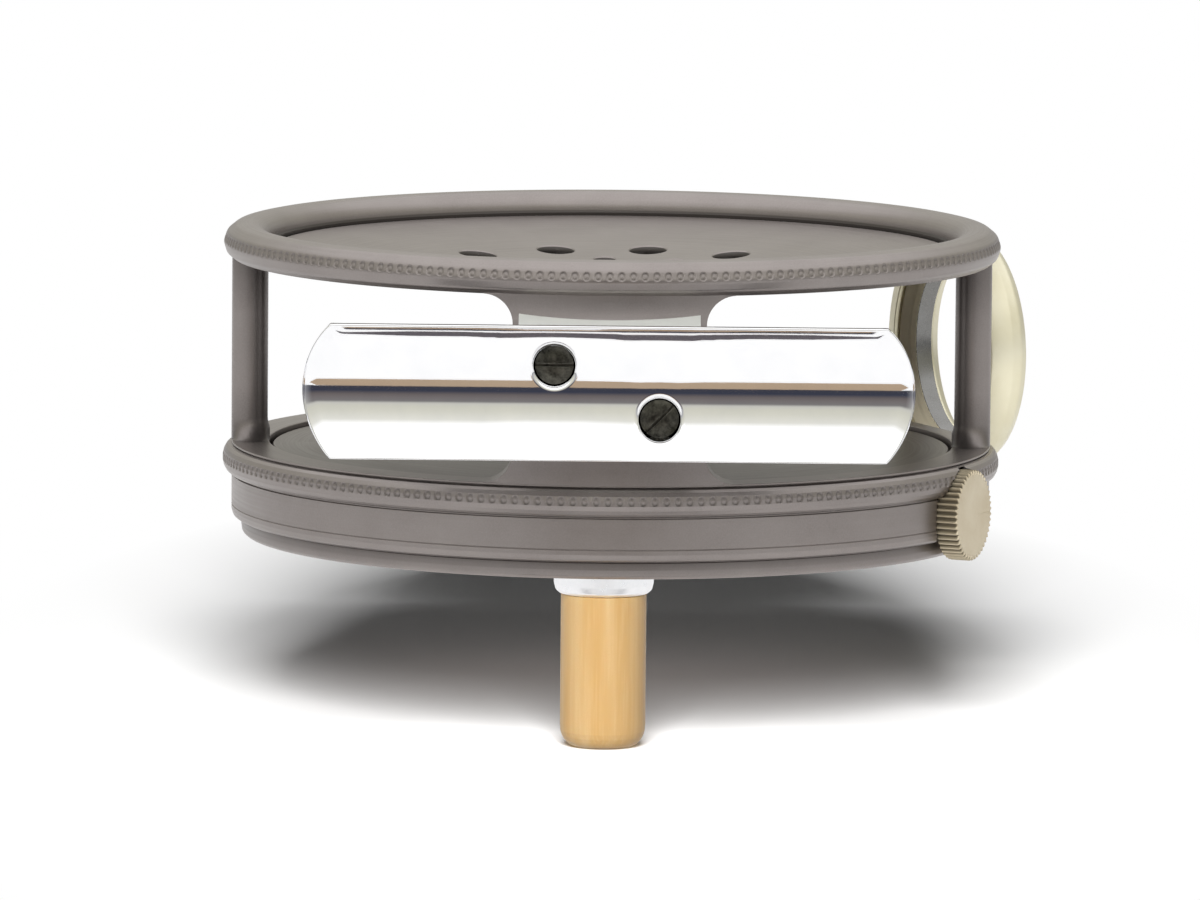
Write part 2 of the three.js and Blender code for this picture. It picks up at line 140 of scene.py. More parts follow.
class Surface(Nodes):
    """The node tree of a new material."""

    def __init__(self, name):
        self.mat = bpy.data.materials.new(name)
        super().__init__(self.mat)
        self.bsdf = self.tree.nodes["Principled BSDF"]

    def coords(self, origin=(0, 0, 0)):
        """Object coordinates in millimetres, measured from a point of the reel layout."""
        tex = self.add("ShaderNodeTexCoord")
        node = self.add("ShaderNodeVectorMath", operation="MULTIPLY_ADD")
        self.link(tex.outputs["Object"], node.inputs[0])
        node.inputs[1].default_value = (1000, 1000, 1000)
        node.inputs[2].default_value = tuple(-(np.array(origin) + SHIFT))
        return node.outputs[0]

    def scaled(self, vector, factors):
        node = self.add("ShaderNodeVectorMath", operation="MULTIPLY")
        self.link(vector, node.inputs[0])
        node.inputs[1].default_value = factors
        return node.outputs[0]

    def painted_shade(self):
        """Painted shade: how dark each point looks, from grime(), or 0."""
        return self.add("ShaderNodeAttribute", attribute_name="painted_shade").outputs["Fac"]

    def turned(self, vector, along, around):
        """Coordinates for lathe marks: fine across the cut, long round the axis."""
        sep = self.add("ShaderNodeSeparateXYZ")
        self.link(vector, sep.inputs[0])
        x, y, z = sep.outputs
        comb = self.add("ShaderNodeCombineXYZ")
        values = self.length(x, y), z, self.math("ARCTAN2", y, x)
        for slot, value, factor in zip(comb.inputs, values, (along, along, around)):
            self.link(self.math("MULTIPLY", value, factor), slot)
        return comb.outputs[0]

    def bump(self, height, strength, distance):
        node = self.add("ShaderNodeBump", Strength=strength, Distance=distance)
        self.link(height, node.inputs["Height"])
        self.link(node.outputs[0], self.bsdf.inputs["Normal"])


def anodised(name="gunmetal_anodised", shade=1.0):
    """Warm grey satin anodising over turned alloy."""
    n = Surface(name)
    p = n.coords()
    cloud = n.noise(p, 0.16, 5)
    marks = n.noise(n.turned(p, 4.0, 2.0), 1.0, 3)
    grain = n.noise(p, 6.0, 3)
    low, high, pale, painted_shade = (tuple(shade * c for c in colour) for colour in (
        (0.243, 0.217, 0.207), (0.283, 0.255, 0.243), (0.320, 0.290, 0.277), (0.04, 0.035, 0.032)))
    tone = n.mix(n.span(cloud, 0, 1), low, high)
    tone = n.mix(n.span(grain, 0, 0.55), tone, pale)
    # painted shade: the stored darkness pulls the colour towards the darkest tone
    tone = n.mix(n.painted_shade(), tone, painted_shade)
    n.link(tone, n.bsdf.inputs["Base Color"])
    n.bsdf.inputs["Metallic"].default_value = 0.86
    rough = n.math("ADD", n.span(marks, 0.32, 0.42), n.span(grain, -0.03, 0.04))
    n.link(rough, n.bsdf.inputs["Roughness"])
    height = n.math("ADD", n.math("MULTIPLY", marks, 0.5), n.math("MULTIPLY", grain, 0.7))
    n.bump(height, 0.22, 0.00002)
    return n.mat


def polished():
    """Mirror polished alloy with faint polishing haze and fine handling scratches."""
    n = Surface("alloy_polished")
    p = n.coords()
    haze = n.noise(p, 0.35, 3)
    hair = n.noise(n.scaled(p, (0.25, 3.0, 12.0)), 2.2, 2)
    n.link(n.mix(n.span(haze, 0, 1), (0.86, 0.865, 0.88), (0.91, 0.91, 0.915)),
           n.bsdf.inputs["Base Color"])
    n.bsdf.inputs["Metallic"].default_value = 1.0
    n.link(n.math("ADD", n.span(haze, 0.035, 0.06), n.span(hair, 0, 0.03, 0.55, 0.8)),
           n.bsdf.inputs["Roughness"])
    n.bump(hair, 0.05, 0.000004)
    return n.mat


def nickel(name, low, high, rough=(0.22, 0.36), metallic=0.85):
    """Pale nickel silver with tarnish clouds and small dark specks."""
    n = Surface(name)
    p = n.coords()
    cloud = n.noise(p, 0.22, 5, 0.5)
    fine = n.noise(p, 2.2, 5)
    speck = n.span(n.noise(p, 1.5, 2), 0, 1, 0.74, 0.80)
    tone = n.mix(n.span(cloud, 0, 1), low, high)
    tone = n.mix(n.math("MULTIPLY", speck, 0.4), tone, tuple(0.5 * c for c in low))
    # painted shade: the stored darkness pulls the colour towards a dark tone
    tone = n.mix(n.painted_shade(), tone, tuple(0.12 * c for c in low))
    n.link(tone, n.bsdf.inputs["Base Color"])
    n.bsdf.inputs["Metallic"].default_value = metallic
    n.link(n.span(fine, *rough), n.bsdf.inputs["Roughness"])
    n.bump(fine, 0.04, 0.00002)
    return n.mat


def steel(name, low, high, rough=(0.2, 0.38)):
    """Turned or ground steel with worn patches."""
    n = Surface(name)
    p = n.coords()
    wear = n.noise(p, 1.1, 6, 0.7)
    lines = n.noise(n.turned(p, 7.0, 2.0), 1.0, 2)
    n.link(n.mix(n.span(wear, 0, 1), low, high), n.bsdf.inputs["Base Color"])
    n.bsdf.inputs["Metallic"].default_value = 1.0
    n.link(n.span(wear, *rough), n.bsdf.inputs["Roughness"])
    n.bump(lines, 0.25, 0.00002)
    return n.mat


def satin():
    """Pale satin alloy of the foot's neck."""
    n = Surface("alloy_satin")
    p = n.coords()
    n.link(n.mix(n.noise(p, 0.5, 3), (0.72, 0.74, 0.70), (0.82, 0.84, 0.80)),
           n.bsdf.inputs["Base Color"])
    n.bsdf.inputs["Metallic"].default_value = 0.35
    n.link(n.span(n.noise(p, 3.0, 3), 0.30, 0.40), n.bsdf.inputs["Roughness"])
    return n.mat


def ivorine():
    """Cream grip material with soft bands and fine streaks down the handle."""
    n = Surface("ivorine_grain")
    p = n.coords((*HANDLE, 0))
    lengthwise = n.scaled(p, (1.0, 1.0, 0.045))
    streak = n.noise(lengthwise, 0.42, 2, 0.5)
    hair = n.noise(lengthwise, 4.0, 2, 0.5)
    dust = n.noise(p, 7.0, 2)
    tone = n.mix(n.span(streak, 0, 1, 0.38, 0.62), (0.74, 0.45, 0.17), (0.82, 0.56, 0.27))
    tone = n.mix(n.span(hair, 0, 0.35, 0.45, 0.75), tone, (0.86, 0.62, 0.32))
    tone = n.mix(n.span(dust, 0, 0.25), tone, (0.70, 0.44, 0.18))
    n.link(tone, n.bsdf.inputs["Base Color"])
    n.link(n.span(hair, 0.42, 0.50), n.bsdf.inputs["Roughness"])
    n.bsdf.inputs["Subsurface Weight"].default_value = 0.15
    n.bsdf.inputs["Subsurface Radius"].default_value = (0.0016, 0.0009, 0.0004)
    n.bsdf.inputs["Subsurface Scale"].default_value = 1.0
    n.bump(n.math("ADD", hair, dust), 0.10, 0.00002)
    return n.mat


GUNMETAL = anodised()
# a darker copy of the anodising for the flange's hole walls: painted shade
SHADED_HOLE_WALL = anodised("gunmetal_hole_wall_painted_shade", 0.28)
ALLOY = polished()
SATIN = satin()
GUARD = nickel("guard_nickel_silver", (0.90, 0.84, 0.61), (0.97, 0.92, 0.71), (0.30, 0.42), 0.5)
KNOB = nickel("knob_nickel_silver", (0.66, 0.56, 0.39), (0.75, 0.66, 0.49), (0.32, 0.46), 0.6)
FLARE = nickel("flare_nickel_silver", (0.92, 0.83, 0.60), (0.98, 0.89, 0.68), (0.42, 0.50), 0.0)
THROAT = nickel("throat_nickel_silver", (0.19, 0.185, 0.175), (0.25, 0.25, 0.245), (0.2, 0.3))
NICKEL = nickel("inner_nickel_silver", (0.50, 0.45, 0.30), (0.66, 0.61, 0.44))
STEEL = steel("ground_steel", (0.36, 0.37, 0.38), (0.55, 0.56, 0.57))
DARK = steel("worn_blued_steel", (0.008, 0.008, 0.007), (0.13, 0.125, 0.105), rough=(0.26, 0.42))
BRIGHT = steel("plated_ferrule", (0.78, 0.79, 0.81), (0.88, 0.88, 0.89), rough=(0.26, 0.36))
IVORINE = ivorine()


# ---- mesh helpers ---------------------------------------------------------------------------
def at(points):
    """Points of the reel layout, in millimetres, as metres in the row frame."""
    return (np.asarray(points, float) + SHIFT) / 1000.0


def radial_matrix(azimuth, z):
    """Local X is tangential, local Y is up the spindle, local Z is radial."""
    a = math.radians(azimuth)
    s, c = math.sin(a), math.cos(a)
    return np.array([[c, 0, s, 0], [s, 0, -c, 0], [0, 1, 0, z], [0, 0, 0, 1.0]])


def shifted(x, y):
    m = np.eye(4)
    m[:2, 3] = (x, y)
    return m


def make(name, verts, faces, material, body, nodes=(), normals=None, matrix=None, sharp=None):
    """A mesh object in the row frame that rides on a body."""
    verts = np.asarray(verts, float)
    if matrix is not None:
        verts = verts @ matrix[:3, :3].T + matrix[:3, 3]
        if normals is not None:
            normals = normals @ matrix[:3, :3].T
    mesh = bpy.data.meshes.new(name)
    mesh.from_pydata(at(verts).tolist(), [], [tuple(int(i) for i in f) for f in faces])
    mesh.validate()
    mesh.polygons.foreach_set("use_smooth", [True] * len(mesh.polygons))
    if sharp is not None:
        mesh.set_sharp_from_angle(angle=math.radians(sharp))
    if normals is not None:
        lengths = np.linalg.norm(normals, axis=1, keepdims=True)
        mesh.normals_split_custom_set_from_vertices((normals / np.maximum(lengths, 1e-12)).tolist())
    mesh.materials.append(material)
    obj = bpy.data.objects.new(name, mesh)
    bpy.context.scene.collection.objects.link(obj)
    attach(obj, body)
    if nodes:
        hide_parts(*nodes)
    return obj


def rounded(corners, steps=4):
    """A closed [r, z] outline with arcs at its corners: corners are (r, z, radius).

    Returns points and outward normals; a corner of radius 0 gives two points, one per side."""
    pts, nrm = [], []
    n = len(corners)
    for i, (r, z, fillet) in enumerate(corners):
        p = np.array([r, z])
        a = np.array(corners[i - 1][:2]) - p
        b = np.array(corners[(i + 1) % n][:2]) - p
        la, lb = np.linalg.norm(a), np.linalg.norm(b)
        a, b = a / la, b / lb
        na, nb = np.array([-a[1], a[0]]), np.array([b[1], -b[0]])
        turn = math.acos(max(-1, min(1, -float(a @ b))))
        if fillet <= 0 or turn < 1e-3:
            pts += [p, p]
            nrm += [na, nb]
            continue
        reach = min(fillet * math.tan(turn / 2), 0.49 * la, 0.49 * lb)
        radius = reach / math.tan(turn / 2)
        start = p + a * reach
        side = 1.0 if na @ b < 0 else -1.0        # convex or hollow corner
        centre = start - side * na * radius
        for k in range(steps + 1):
            t = turn * k / steps
            m = na * math.cos(t) + (-a) * math.sin(t) * side
            pts.append(centre + side * m * radius)
            nrm.append(m)
    return np.array(pts), np.array(nrm)


def dense(pts, nrm, gap, keep=None):
    """Adds points along the long straight stretches, so a later displacement has rows."""
    out_p, out_n = [], []
    for i in range(len(pts)):
        j = (i + 1) % len(pts)
        out_p.append(pts[i])
        out_n.append(nrm[i])
        length = np.linalg.norm(pts[j] - pts[i])
        if length > gap and (keep is None or keep(0.5 * (pts[i] + pts[j]))):
            m = int(length // gap)
            for k in range(1, m + 1):
                t = k / (m + 1)
                out_p.append(pts[i] * (1 - t) + pts[j] * t)
                mid = nrm[i] * (1 - t) + nrm[j] * t
                out_n.append(mid / max(np.linalg.norm(mid), 1e-9))
    return np.array(out_p), np.array(out_n)


def grid_faces(rows, cols, close_rows=True):
    """Quads of a grid whose columns close up, and whose rows may."""
    i = np.arange(rows if close_rows else rows - 1)
    j = np.arange(cols)
    a = (i[:, None] * cols + j[None, :])
    b = (i[:, None] * cols + (j[None, :] + 1) % cols)
    c = (((i[:, None] + 1) % rows) * cols + (j[None, :] + 1) % cols)
    d = (((i[:, None] + 1) % rows) * cols + j[None, :])
    return np.stack([a, b, c, d], -1).reshape(-1, 4)


def sweep(pts, nrm, cols, shape=None):
    """Turns an outline round Z. shape(points, normals) may move the points and return them."""
    t = 2 * math.pi * np.arange(cols) / cols
    c, s = np.cos(t), np.sin(t)
    P = np.stack([pts[:, :1] * c, pts[:, :1] * s, np.repeat(pts[:, 1:], cols, 1)], -1)
    N = np.stack([nrm[:, :1] * c, nrm[:, :1] * s, np.repeat(nrm[:, 1:], cols, 1)], -1)
    if shape is not None:
        Q = shape(P, N)
        moved = np.linalg.norm(Q - P, axis=-1) > 1e-6
        near = moved.copy()
        for axis in (0, 1):
            near |= np.roll(moved, 1, axis) | np.roll(moved, -1, axis)
        du = np.roll(Q, -1, 1) - np.roll(Q, 1, 1)
        dv = np.roll(Q, -1, 0) - np.roll(Q, 1, 0)
        M = np.cross(du, dv)
        M /= np.maximum(np.linalg.norm(M, axis=-1, keepdims=True), 1e-12)
        M *= np.sign((M * N).sum(-1, keepdims=True) + 1e-9)
        N = np.where(near[..., None], M, N)
        P = Q
    return P.reshape(-1, 3), grid_faces(len(pts), cols), N.reshape(-1, 3)


def turned(name, corners, cols, material, body, nodes=(), matrix=None, steps=4, shape=None,
           gap=None, keep=None):
    """A piece turned on a lathe, from an outline with rounded corners."""
    pts, nrm = rounded(corners, steps)
    if gap:
        pts, nrm = dense(pts, nrm, gap, keep)
    verts, faces, normals = sweep(pts, nrm, cols, shape)
    return make(name, verts, faces, material, body, nodes, normals, matrix)


# ---- frame rings ----------------------------------------------------------------------------
def mark_depth(P, centre, half, depth):
    """A row of punched marks round a bead: each is a small hollow whose floor rises in the middle.
    """
    angle = np.arctan2(P[..., 1], P[..., 0])
    u = ((angle * MARKS / (2 * math.pi)) % 1.0 - 0.5) / 0.31
    v = (P[..., 2] - centre) / half
    rho = (np.abs(u) ** 2.6 + np.abs(v) ** 2.6) ** (1 / 2.6)
    wall = np.clip((1.0 - rho) / 0.30, 0, 1)
    pip = 0.45 * np.exp(-(rho / 0.45) ** 2)
    on_bead = np.hypot(P[..., 0], P[..., 1]) > R_BAND + 0.3
    return depth * wall * wall * (3 - 2 * wall) * (1 - pip) * on_bead


def flatten(P, azimuth, z, radius, level):
    """Cuts a flat seat, square to the radius at an azimuth, into whatever stands above it."""
    a = math.radians(azimuth)
    d = np.array([math.sin(a), -math.cos(a), 0.0])
    t = np.array([math.cos(a), math.sin(a), 0.0])
    out = P @ d
    off = np.hypot(P @ t, P[..., 2] - z)
    over = np.where((off < radius) & (out > level), out - level, 0.0)
    return P - over[..., None] * d


def mark_shade(verts, centre, half):
    """How dark each point of a row of marks looks: painted shade at the top and bottom of each mark.
    """
    depth = mark_depth(verts, centre, half, 1.0)
    v = np.abs(verts[:, 2] - centre) / half
    return 0.55 * np.clip(depth * 1.4, 0, 1) * np.clip(0.05 + 1.2 * v, 0, 1)


def shape_lower(P, N):
    Q = P - N * mark_depth(P, *LOWER_MARKS, 0.14)[..., None]
    Q = flatten(Q, KNOB_ANGLE, KNOB_Z, 5.05, 41.0)
    return flatten(Q, GUARD_ANGLE, GUARD_Z, GUARD_SEAT, GUARD_LEVEL)


def shape_upper(P, N):
    Q = P - N * mark_depth(P, *UPPER_MARKS, 0.10)[..., None]
    return flatten(Q, GUARD_ANGLE, GUARD_Z, GUARD_SEAT, GUARD_LEVEL)


def bead(z_low, z_high, rise, count=9):
    """Outline of a half round bead from z_low to z_high on the band."""
    out = []
    for k in range(1, count):
        a = math.pi * k / count
        out.append((R_BAND + rise * math.sin(a),
                    (z_low + z_high) / 2 - (z_high - z_low) / 2 * math.cos(a), 0.12))
    return out


LOWER = [
    (12.4, 8.0, 0.1), (12.4, 4.1, 0.1), (14.4, 4.1, 0.2), (14.4, 6.6, 0.3), (39.8, 6.6, 0.3),
    (39.8, 1.88, 0.1), (41.1, 1.88, 0.12), (41.65, 2.15, 0.4), (R_BAND, 2.75, 0.3),
    (R_BAND, 3.22, 0.05), (41.7, 3.30, 0.03), (R_BAND, 3.38, 0.05), (R_BAND, 6.62, 0.05),
    (41.58, 6.68, 0.02), (41.58, 6.80, 0.02),
    *bead(6.84, 9.92, 1.0), (R_BAND - 0.25, 9.94, 0.05), (R_BAND - 0.25, 10.02, 0.05),
    (R_BAND, 10.06, 0.04), (R_BAND, Z_LOW, 0.10), (R_BORE, Z_LOW, 0.12), (R_BORE, 8.0, 0.1)]

LIP = [(40.1 - 2.3 * math.sin(t), 32.2 + 2.1 * math.cos(t), 2.0)
       for t in np.radians((12, 28, 44, 60, 76, 90))]

UPPER = [
    (R_BORE, Z_UP, 0.15), (41.65, Z_UP, 0.2), (42.45, 31.1, 0.8), (R_BEAD, 32.2, 1.0),
    (42.4, 33.35, 1.0), (41.45, 34.1, 0.9), (40.5, 34.3, 0.5), *LIP, (R_BORE, 31.95, 0.05)]


def paint_shade(obj, amount):
    """Stores painted shade, how dark each point looks; amount takes points in the reel layout."""
    verts = np.empty(len(obj.data.vertices) * 3)
    obj.data.vertices.foreach_get("co", verts)
    obj.data.attributes.new("painted_shade", "FLOAT", "POINT").data.foreach_set(
        "value", amount(verts.reshape(-1, 3) * 1000 - SHIFT))


def upper_shade(p):
    """Painted shade in the marks and a painted shadow line where the flange runs inside the ring."""
    line = (np.hypot(p[:, 0], p[:, 1]) < R_BORE + 0.2) * np.clip((32.35 - p[:, 2]) / 0.2, 0, 1)
    return np.maximum(0.6 * mark_shade(p, *UPPER_MARKS), 0.85 * line)


# painted shade in the punched marks of the lower bead
paint_shade(turned("lower_ring", LOWER, MARKS * PER_MARK, GUNMETAL, "frame_body", ("frame",), steps=2,
             shape=shape_lower, gap=0.10, keep=lambda m: m[0] > 42.2 and 7.9 < m[1] < 9.4),
      lambda p: mark_shade(p, *LOWER_MARKS))
# painted shade in the upper marks and a painted shadow line inside the ring's lip
paint_shade(turned("upper_ring", UPPER, MARKS * PER_MARK, GUNMETAL, "frame_body", ("frame",), steps=3,
             shape=shape_upper, gap=0.10, keep=lambda m: m[0] > 42.1 and 31.9 < m[1] < 33.5),
      upper_shade)


def pillar_shade(p):
    """Painted shade: darker at both ends and on the side towards the spindle."""
    ends = np.clip((Z_LOW + 5 - p[:, 2]) / 5, 0, 1) + np.clip((p[:, 2] - Z_UP + 4) / 4, 0, 1)
    inner = np.clip((PILLAR_AT - np.hypot(p[:, 0], p[:, 1])) / 1.5, 0, 1)
    return np.clip(0.45 * ends + 0.3 * inner, 0, 1)


def pillar(name, angle):
    """A round post that flares along the ring where it meets the lower ring."""
    cols, flare = 48, 2.4
    levels = [-0.2] + [flare * (1 - math.cos(math.pi / 2 * k / 12)) for k in range(13)]
    t = 2 * math.pi * np.arange(cols) / cols
    rows = []
    for h in levels + [6, 10, 14, Z_UP - Z_LOW + 0.25]:
        wide = 0.0 if h >= flare else flare - math.sqrt(flare ** 2 - (flare - max(h, 0)) ** 2)
        deep = min(wide, 0.25)
        out = PILLAR_R * np.sin(t) + np.where(np.sin(t) < 0, deep, 0) * np.sin(t)
        rows.append(np.stack([(PILLAR_R + wide) * np.cos(t), out + PILLAR_AT,
                              np.full(cols, Z_LOW + h)], -1))
    P = np.array(rows)
    # the outline follows the ring's curve, so the post's outer side stays flush with the band
    P[..., 1] -= P[..., 0] ** 2 / (2 * PILLAR_AT) * (np.abs(P[..., 0]) > 1.2)
    a = math.radians(angle)
    s, c = math.sin(a), math.cos(a)
    m = np.array([[c, s, 0, 0], [s, -c, 0, 0], [0, 0, 1, 0], [0, 0, 0, 1.0]])
    faces = grid_faces(len(rows), cols, False)[:, ::-1].tolist()
    faces += [list(range(cols)), list(range(cols * (len(rows) - 1), cols * len(rows)))[::-1]]
    # painted shade at the post's ends and on its inner side
    paint_shade(make(name, P.reshape(-1, 3), faces, GUNMETAL, "frame_body", ("frame",), matrix=m,
               sharp=50), pillar_shade)


for index, azimuth in enumerate((89, 180, 271)):
    pillar(f"pillar_{index + 1}", azimuth)


def ring_block(halves, levels, r_in, r_out, cols=28):
    """A curved wall between two radii whose half width varies with height."""
    verts, faces = [], []
    for z, w in zip(levels, halves):
        for r in (r_out, r_in):
            x = np.linspace(-w, w, cols)
            verts += [(a, -math.sqrt(r * r - a * a), z) for a in x]
    rows = len(levels)
    for i in range(rows - 1):
        o, n = i * 2 * cols, (i + 1) * 2 * cols
        for k in range(cols - 1):
            faces.append((o + k, o + k + 1, n + k + 1, n + k))
            faces.append((o + cols + k + 1, o + cols + k, n + cols + k, n + cols + k + 1))
        faces.append((o + cols, o, n, n + cols))
        faces.append((o + cols - 1, o + 2 * cols - 1, n + 2 * cols - 1, n + cols - 1))
    for o, flip in ((0, True), ((rows - 1) * 2 * cols, False)):
        for k in range(cols - 1):
            f = (o + k, o + k + 1, o + cols + k + 1, o + cols + k)
            faces.append(f[::-1] if flip else f)
    return verts, faces


def cut_with(obj, verts, faces):
    """Subtracts a convex tool from obj and applies the result."""
    mesh = bpy.data.meshes.new("tool")
    mesh.from_pydata(at(verts).tolist(), [], faces)
    tool = bpy.data.objects.new("tool", mesh)
    bpy.context.scene.collection.objects.link(tool)
    mod = obj.modifiers.new("cut", "BOOLEAN")
    mod.object, mod.operation, mod.solver = tool, "DIFFERENCE", "EXACT"
    graph = bpy.context.evaluated_depsgraph_get()
    result = bpy.data.meshes.new_from_object(obj.evaluated_get(graph))
    obj.modifiers.clear()
    obj.data = result
    bpy.data.objects.remove(tool)


def prism(side, w):
    """A block of half width w along X whose outline in (y, z) is given anticlockwise."""
    n = len(side)
    verts = [(-w, y, z) for y, z in side] + [(w, y, z) for y, z in side]
    faces = [tuple(range(n))[::-1], tuple(range(n, 2 * n))]
    faces += [(k, (k + 1) % n, n + (k + 1) % n, n + k) for k in range(n)]
    return verts, faces


def saddle():
    """The block that carries the foot: it widens in a fillet at each ring."""
    levels, halves = [], []
    for k in range(13):
        a = math.pi / 2 * k / 12
        levels.append(SADDLE_FILLET * (1 - math.cos(a)))
        halves.append(SADDLE_HALF + SADDLE_FILLET * (1 - math.sin(a)))
    levels = [Z_LOW - 0.25] + [Z_LOW + h for h in levels] + \
        [Z_UP - h for h in levels[::-1]] + [Z_UP + 0.25]
    halves = halves[:1] + halves + halves[::-1] + halves[:1]
    verts, faces = ring_block(halves, levels, R_BORE + 0.05, R_BAND - 0.02)
    obj = make("foot_saddle", verts, faces, GUNMETAL, "frame_body", ("frame",))
    side = [(-39.7, 12.5), (-39.7, 28.95), (-46, 26.15), (-46, 15.3)]
    cut_with(obj, *prism(side[::-1], NECK_HALF + 0.04))
    for poly in obj.data.polygons:
        poly.use_smooth = True
    obj.data.set_sharp_from_angle(angle=math.radians(35))
    bevel = obj.modifiers.new("edge", "BEVEL")
    bevel.width, bevel.segments, bevel.limit_method = 0.00012, 2, "ANGLE"
    bevel.angle_limit = math.radians(50)


saddle()


# ---- rod foot -------------------------------------------------------------------------------
def planar(loops, rings, fill):
    """Triangulates a convex outline with round openings: loops[0] is the outside, the others
    are openings, rings are extra points, fill more. Returns points and triangles."""
    pts, edges, holes = [], [], []
    for k, loop in enumerate(loops):
        start = len(pts)
        pts += [Vector(p) for p in loop]
        edges += [(start + i, start + (i + 1) % len(loop)) for i in range(len(loop))]
        if k:
            c = np.mean(loop, 0)
            holes.append((c, np.linalg.norm(np.array(loop[0]) - c)))
    pts += [Vector(p) for p in rings] + [Vector(p) for p in fill]
    out = delaunay_2d_cdt(pts, edges, [], 0, 1e-7)
    verts = np.array([(v[0], v[1]) for v in out[0]])
    tris = []
    for f in out[2]:
        c = verts[list(f)].mean(0)
        if all(np.linalg.norm(c - h) > r * 0.999 for h, r in holes):
            a, b, d = verts[f[0]], verts[f[1]], verts[f[2]]
            area = (b[0] - a[0]) * (d[1] - a[1]) - (b[1] - a[1]) * (d[0] - a[0])
            tris.append(f if area > 0 else f[::-1])
    return verts, tris


def circle(cx, cy, r, n, phase=0.0):
    """n points round a circle."""
    return [(cx + r * math.cos(2 * math.pi * k / n + phase),
             cy + r * math.sin(2 * math.pi * k / n + phase)) for k in range(n)]


def foot_outline(inset):
    """Two straight edges and two arcs, anticlockwise from the lower end of the +X arc."""
    h, c, r = FOOT_HALF - inset, FOOT_TIP - END_ARC, END_ARC - inset
    half = math.asin(h / r)
    corner = c + r * math.cos(half)
    out = [(c + r * math.cos(a), r * math.sin(a)) for a in np.linspace(-half, half, 31)]
    out += [(x, h) for x in np.linspace(corner, -corner, 91)[1:-1]]
    out += [(-p[0], -p[1]) for p in out[:31]]
    out += [(x, -h) for x in np.linspace(-corner, corner, 91)[1:-1]]
    return out


def inside_outline(x, z, margin):
    from_centre = math.hypot(abs(x) - FOOT_TIP + END_ARC, z)
    return abs(z) < FOOT_HALF - margin and from_centre < END_ARC - margin


def seat_depth(x, z):
    """Y of the polished face: a round hollow, rolled in at both ends and at the screw holes."""
    y = VALLEY - SEAT_R + math.sqrt(SEAT_R ** 2 - z * z)
    from_end = END_ARC - math.hypot(max(abs(x) - FOOT_TIP + END_ARC, 0), z)
    if from_end < END_ROLL:
        y += 0.16 * (1 - max(from_end, 0) / END_ROLL) ** 2
    for sx, sz, _ in SCREWS:
        d = math.hypot(x - sx, z - sz) - HOLE_R
        if d < RIM_ROLL:
            y += 0.30 * (1 - max(d, 0) / RIM_ROLL) ** 2.2
    return y


def face_normal(x, z, e=0.01):
    """Normal of the polished face, from seat_depth's slopes."""
    gx = (seat_depth(x + e, z) - seat_depth(x - e, z)) / (2 * e)
    gz = (seat_depth(x, z + e) - seat_depth(x, z - e)) / (2 * e)
    v = np.array([gx, -1.0, gz])
    return v / np.linalg.norm(v)


def foot_back(x):
    """Y of the underside flat at a distance along the foot: it thins towards both ends."""
    t = max(0.0, abs(x) - 13.0) / 19.3
    return -44.3 - 1.9 * t ** 1.15


